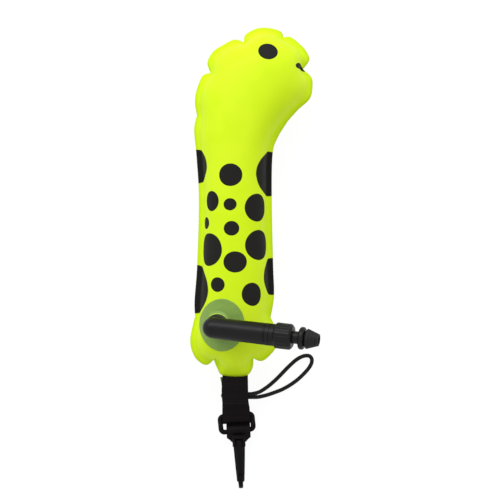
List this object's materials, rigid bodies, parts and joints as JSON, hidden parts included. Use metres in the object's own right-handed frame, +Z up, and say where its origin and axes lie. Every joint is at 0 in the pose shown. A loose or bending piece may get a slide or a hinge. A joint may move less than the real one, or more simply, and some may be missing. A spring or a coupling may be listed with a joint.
{
  "type": "inflatable dive marker buoy",
  "caption": "Slim spotted yellow inflatable diver's marker with a bent head, an oral inflator on a swivel elbow, a webbing hanger, a cord loop and a black snap hook.",
  "frame": {"origin": "on the floor under the middle of the bladder's back sheet, where the marker lies", "axes": "+Y from the hook towards the head, +Z up out of the bladder's front sheet, +X to the side that the inflator points to"},
  "size_m": [0.128, 0.4619, 0.1118],
  "materials": {
    "bladder_sheet": "satin fluorescent yellow welded sheet with dark spots",
    "valve_patch": "milky translucent soft plastic",
    "black_plastic": "satin moulded black",
    "soft_rubber": "matte black soft rubber",
    "hook_plastic": "satin moulded black",
    "webbing": "black flat webbing, ribbed weave",
    "cord": "black braided cord",
    "spring_steel": "bright stainless wire and strip"
  },
  "bodies": {
    "bladder": {"bladder_front": "bladder_sheet", "bladder_back": "bladder_sheet", "valve_flange": "valve_patch", "elbow_o_ring": "soft_rubber"},
    "inflator": {"inflator_tube": "black_plastic", "valve_housing": "black_plastic", "valve_seat": "black_plastic", "stem_guide": "black_plastic", "return_spring": "spring_steel"},
    "mouthpiece": {"valve_stem": "black_plastic", "valve_poppet": "black_plastic", "poppet_seal": "soft_rubber", "stem_flange": "black_plastic", "mouthpiece": "soft_rubber"},
    "collar_carrier": {"collar_o_ring": "soft_rubber"},
    "collar": {"locking_collar": "black_plastic"},
    "strap": {"hanger_tab": "bladder_sheet", "webbing_strap": "webbing", "cord_bight": "cord", "cord_loop": "cord"},
    "hook_ring": {"hook_ring": "hook_plastic"},
    "hook": {"hook_body": "hook_plastic", "gate_pin": "spring_steel", "gate_spring": "spring_steel"},
    "gate": {"hook_gate": "hook_plastic"}
  },
  "joints": [
    {"name": "elbow_swivel", "type": "hinge", "parent": "bladder", "child": "inflator", "pos_m": [-0.0175, -0.07387, 0.06074], "axis": [-0.2544, -0.1297, 0.9584], "continuous": true},
    {"name": "mouthpiece_push", "type": "slide", "parent": "inflator", "child": "mouthpiece", "axis": [0.9646, -0.1048, 0.2419], "range_m": [-0.0042, 0], "stiffness_N_per_m": 300, "springref_m": 0.004, "deforming": ["return_spring"]},
    {"name": "collar_travel", "type": "slide", "parent": "inflator", "child": "collar_carrier", "axis": [0.9646, -0.1048, 0.2419], "range_m": [0, 0.0063]},
    {"name": "collar_turn", "type": "hinge", "parent": "collar_carrier", "child": "collar", "pos_m": [-0.02233, -0.07634, 0.07895], "axis": [0.9646, -0.1048, 0.2419], "range_deg": [0, 720]},
    {"name": "strap_swing", "type": "hinge", "parent": "bladder", "child": "strap", "pos_m": [0, -0.1265, 0.0305], "axis": [1, 0, 0], "range_deg": [-70, 35]},
    {"name": "ring_pivot", "type": "hinge", "parent": "strap", "child": "hook_ring", "pos_m": [-0.0003, -0.1668, 0.0045], "axis": [-0.9942, -0.108, 0], "range_deg": [-75, 75]},
    {"name": "hook_pivot", "type": "hinge", "parent": "hook_ring", "child": "hook", "pos_m": [0.00239, -0.18228, 0.0077], "axis": [0.999, 0.0454, 0], "range_deg": [-75, 75]},
    {"name": "gate_swing", "type": "hinge", "parent": "hook", "child": "gate", "pos_m": [0.00293, -0.19417, 0.01668], "axis": [0.999, 0.0454, 0], "range_deg": [0, 22], "stiffness_Nm_per_rad": 0.05, "springref_deg": -34.38, "deforming": ["gate_spring"]}
  ],
  "couplings": [
    {"joint": "collar_turn", "follows": "collar_travel", "rad_per_m": 1994.7}
  ]
}
